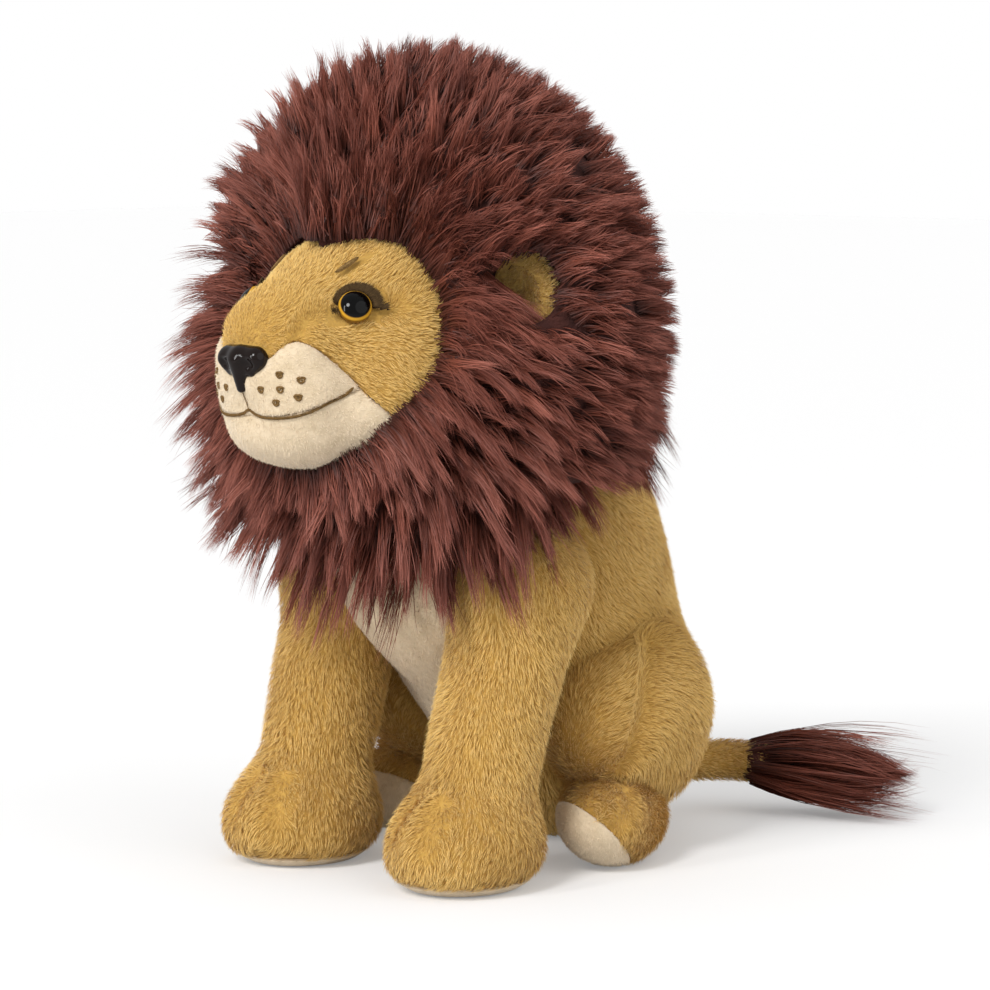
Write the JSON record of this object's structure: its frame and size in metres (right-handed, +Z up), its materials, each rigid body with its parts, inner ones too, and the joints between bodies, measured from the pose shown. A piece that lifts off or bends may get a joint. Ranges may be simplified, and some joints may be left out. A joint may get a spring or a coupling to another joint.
{
  "type": "plush lion",
  "caption": "Sitting plush lion with a shaggy long-pile mane, sewn skins over fibre filling, cream muzzle and soles, and a tufted tail.",
  "frame": {"origin": "centre of the flat base of the seat, on the floor plane", "axes": "+Z up; the lion faces -Y; +X is the lion's left side; the left-right mirror plane of the body is X = 0"},
  "size_m": [0.203, 0.2947, 0.3035],
  "materials": {
    "gold_plush": "short soft pile, golden tan",
    "cream_plush": "very short pile, cream",
    "mane_pile": "long shaggy pile, reddish brown",
    "fibre_fill": "white fibre filling",
    "dark_plastic": "glossy, near black",
    "washer_plastic": "matt white",
    "brown_thread": "brown embroidery thread",
    "lid_plush": "short dark brown pile"
  },
  "bodies": {
    "torso": {"body_skin": "gold_plush", "body_filling": "fibre_fill", "belly_panel": "cream_plush", "mane_bib": "mane_pile", "thigh_left_skin": "gold_plush", "thigh_left_filling": "fibre_fill", "hind_foot_left_skin": "gold_plush", "hind_foot_left_filling": "fibre_fill", "hind_sole_left": "cream_plush", "thigh_right_skin": "gold_plush", "thigh_right_filling": "fibre_fill", "hind_foot_right_skin": "gold_plush", "hind_foot_right_filling": "fibre_fill", "hind_sole_right": "cream_plush"},
    "head": {"head_skin": "gold_plush", "head_filling": "fibre_fill", "upper_lip_panel": "cream_plush", "chin_panel": "cream_plush", "nose": "dark_plastic", "nose_washer": "washer_plastic", "mouth_stitch": "brown_thread", "mane_crown": "mane_pile", "mane_nape": "mane_pile", "eye_left": "dark_plastic", "eye_washer_left": "washer_plastic", "eyelid_left": "lid_plush", "brow_stitch_left": "brown_thread", "mane_left": "mane_pile", "eye_right": "dark_plastic", "eye_washer_right": "washer_plastic", "eyelid_right": "lid_plush", "brow_stitch_right": "brown_thread", "mane_right": "mane_pile"},
    "ear_left": {"ear_left": "gold_plush"},
    "ear_right": {"ear_right": "gold_plush"},
    "front_leg_left": {"front_leg_left_skin": "gold_plush", "front_leg_left_filling": "fibre_fill", "front_sole_left": "cream_plush"},
    "front_leg_right": {"front_leg_right_skin": "gold_plush", "front_leg_right_filling": "fibre_fill", "front_sole_right": "cream_plush"},
    "tail": {"tail_skin": "gold_plush", "tail_filling": "fibre_fill", "tail_tuft": "mane_pile"}
  },
  "joints": [
    {"name": "neck_turn", "type": "hinge", "parent": "torso", "child": "head", "pos_m": [0, -0.056, 0.162], "axis": [0, 0, 1], "range_deg": [-15, 15], "stiffness_Nm_per_rad": 0.3},
    {"name": "ear_fold_left", "type": "hinge", "parent": "head", "child": "ear_left", "pos_m": [0.04689, -0.09741, 0.21313], "axis": [0.3652, 0.0911, -0.9265], "range_deg": [-15, 20], "stiffness_Nm_per_rad": 0.01},
    {"name": "ear_fold_right", "type": "hinge", "parent": "head", "child": "ear_right", "pos_m": [-0.04689, -0.09741, 0.21313], "axis": [0.3652, -0.0911, 0.9265], "range_deg": [-15, 20], "stiffness_Nm_per_rad": 0.01},
    {"name": "front_leg_swing_left", "type": "hinge", "parent": "torso", "child": "front_leg_left", "pos_m": [0.043, -0.075, 0.108], "axis": [-1, 0, 0], "range_deg": [0, 18], "stiffness_Nm_per_rad": 1},
    {"name": "front_leg_swing_right", "type": "hinge", "parent": "torso", "child": "front_leg_right", "pos_m": [-0.043, -0.075, 0.108], "axis": [-1, 0, 0], "range_deg": [0, 18], "stiffness_Nm_per_rad": 1},
    {"name": "tail_swing", "type": "hinge", "parent": "torso", "child": "tail", "pos_m": [0, 0.035, 0.0195], "axis": [0, 0, 1], "range_deg": [-20, 20], "stiffness_Nm_per_rad": 0.08}
  ]
}
